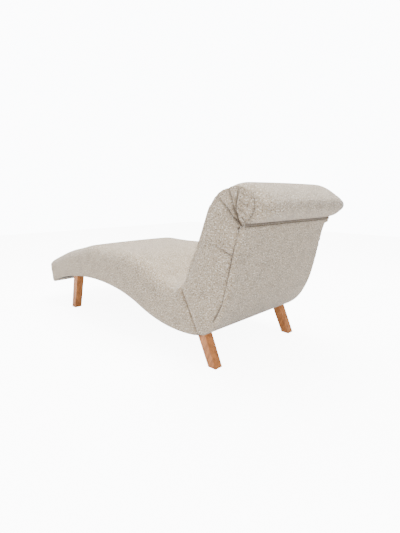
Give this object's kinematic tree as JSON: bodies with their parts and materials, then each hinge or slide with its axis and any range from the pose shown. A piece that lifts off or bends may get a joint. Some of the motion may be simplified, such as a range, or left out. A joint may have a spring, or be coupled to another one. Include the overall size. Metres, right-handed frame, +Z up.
{
  "type": "upholstered chaise longue",
  "caption": "Wave shaped upholstered chaise longue with a rolled headrest, a raised back and raked square wooden legs.",
  "frame": {"origin": "on the floor, under the middle of the whole chaise", "axes": "+Z up, +Y from the toe towards the head, +X to the sitter's left"},
  "size_m": [0.714, 1.9234, 0.8327],
  "materials": {
    "tweed": "woven grey beige tweed with light and brown flecks, matte",
    "oak": "natural oak with a satin oil",
    "plywood": "raw birch plywood",
    "rail_wood": "planed softwood, unfinished",
    "spring_steel": "drawn spring wire, dull",
    "zinc_steel": "zinc plated",
    "felt": "pressed felt, matte",
    "webbing": "elastic webbing",
    "card": "stiff card strip",
    "wadding": "polyester wadding",
    "dust_cloth": "black non-woven cloth",
    "foam": "polyurethane foam"
  },
  "bodies": {
    "root": {"side_frame_left": "plywood", "side_frame_right": "plywood", "toe_rail": "rail_wood", "seat_front_rail": "rail_wood", "seat_middle_rail": "rail_wood", "hip_rail": "rail_wood", "lumbar_rail": "rail_wood", "neck_rail": "rail_wood", "roll_rail": "rail_wood", "outside_back_rail": "rail_wood", "front_leg_left": "oak", "front_leg_right": "oak", "rear_leg_left": "oak", "rear_leg_right": "oak", "front_leg_block_left": "rail_wood", "front_leg_block_right": "rail_wood", "rear_leg_block_left": "rail_wood", "rear_leg_block_right": "rail_wood", "hanger_bolts": "zinc_steel", "tee_nuts": "zinc_steel", "seat_springs": "spring_steel", "spring_clips": "zinc_steel", "spring_felt": "felt", "back_webbing": "webbing", "outside_back_cover": "tweed", "tack_strip": "card", "outside_back_wadding": "wadding", "dust_cover": "dust_cloth", "seat_cover": "tweed", "back_cover": "tweed", "seat_foam": "foam", "back_foam": "foam"}
  },
  "joints": []
}
